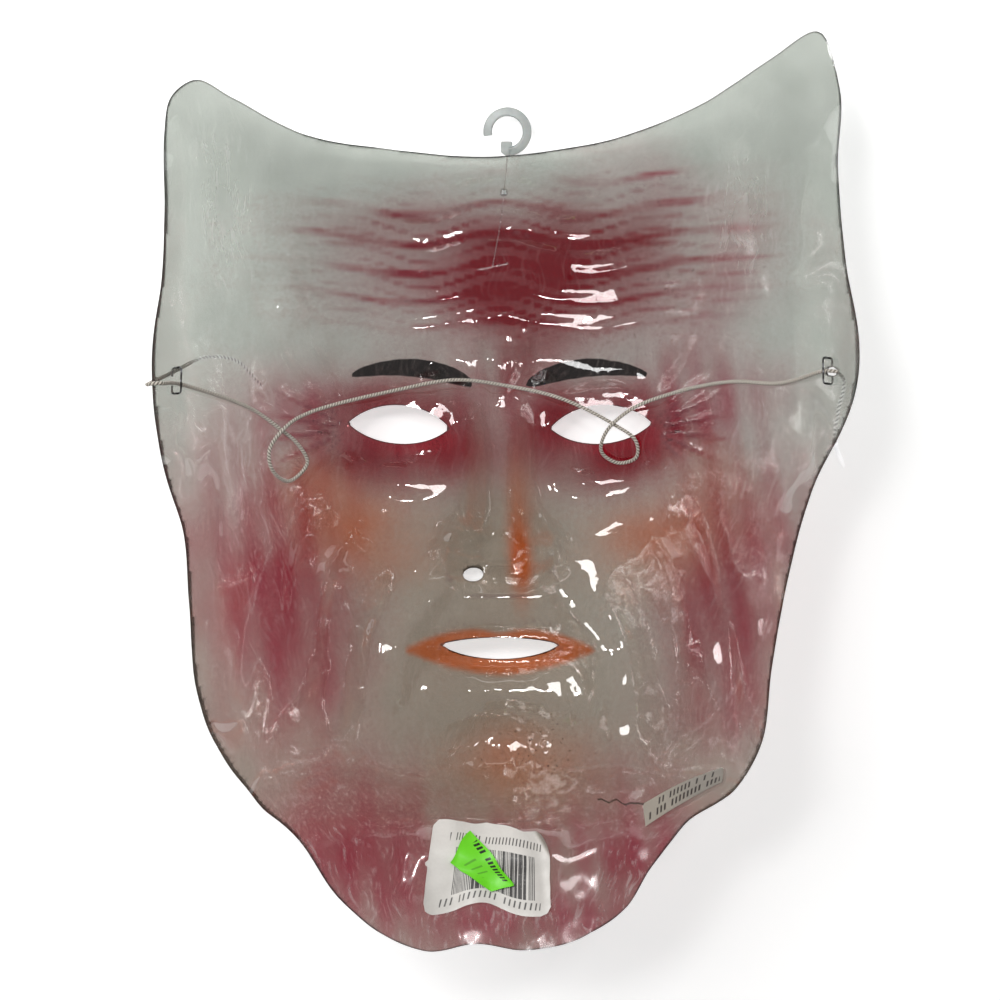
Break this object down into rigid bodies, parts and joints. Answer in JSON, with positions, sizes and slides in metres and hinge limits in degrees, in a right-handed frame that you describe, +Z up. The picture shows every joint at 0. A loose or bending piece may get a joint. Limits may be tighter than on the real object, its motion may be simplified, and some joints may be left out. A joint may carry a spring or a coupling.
{
  "type": "old man mask",
  "caption": "Old man's face mask of thin clear sheet plastic, airbrushed, with an elastic cord, staples, a moulded hanging hook and stuck labels, lying face down.",
  "frame": {"origin": "middle of the lying mask's box, on the floor, the free elastic cord left out", "axes": "+Y towards the forehead, +Z up out of the hollow, +X to the right when looking down into the hollow with the forehead away"},
  "size_m": [0.1991, 0.2616, 0.0984],
  "materials": {
    "clear_sheet": "clear glossy sheet, airbrushed in reds, pinks, orange and dark brown",
    "elastic": "white braided round elastic",
    "staple_wire": "drawn steel wire",
    "hook_plastic": "frosted, part see-through",
    "label_paper": "matt white",
    "sticker_paper": "satin fluorescent green",
    "label_film": "whitish, slightly see-through"
  },
  "bodies": {
    "root": {"mask_shell": "clear_sheet", "elastic_cord": "elastic", "staple_left": "staple_wire", "staple_right": "staple_wire", "hang_hook": "hook_plastic", "paper_label": "label_paper", "price_sticker": "sticker_paper", "origin_label": "label_film"}
  },
  "joints": []
}
